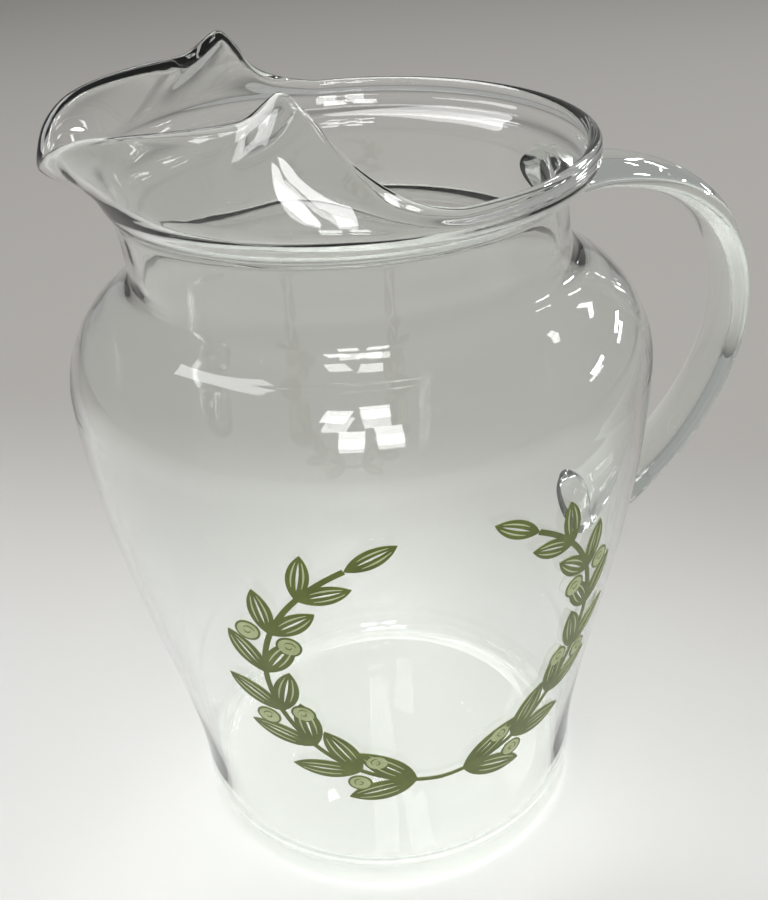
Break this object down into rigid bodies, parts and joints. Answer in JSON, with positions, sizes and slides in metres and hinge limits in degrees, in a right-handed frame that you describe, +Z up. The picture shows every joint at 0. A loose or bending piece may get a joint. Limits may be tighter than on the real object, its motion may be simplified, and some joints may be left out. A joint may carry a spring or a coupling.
{
  "type": "pitcher",
  "caption": "Glass pitcher with a pinched ice lip, a round shouldered body, an applied strap handle and a printed enamel wreath.",
  "frame": {"origin": "on the vessel's axis at the underside of its base", "axes": "+Z up, spout along -X, handle along +X"},
  "size_m": [0.2059, 0.1626, 0.2383],
  "materials": {
    "vessel_glass": "clear blown glass, fire polished",
    "handle_glass": "clear glass strap, fire polished",
    "green_enamel": "fired enamel, half gloss",
    "pale_enamel": "fired enamel, half gloss"
  },
  "bodies": {
    "root": {"vessel": "vessel_glass", "handle": "handle_glass", "green_enamel": "green_enamel", "pale_enamel": "pale_enamel"}
  },
  "joints": []
}
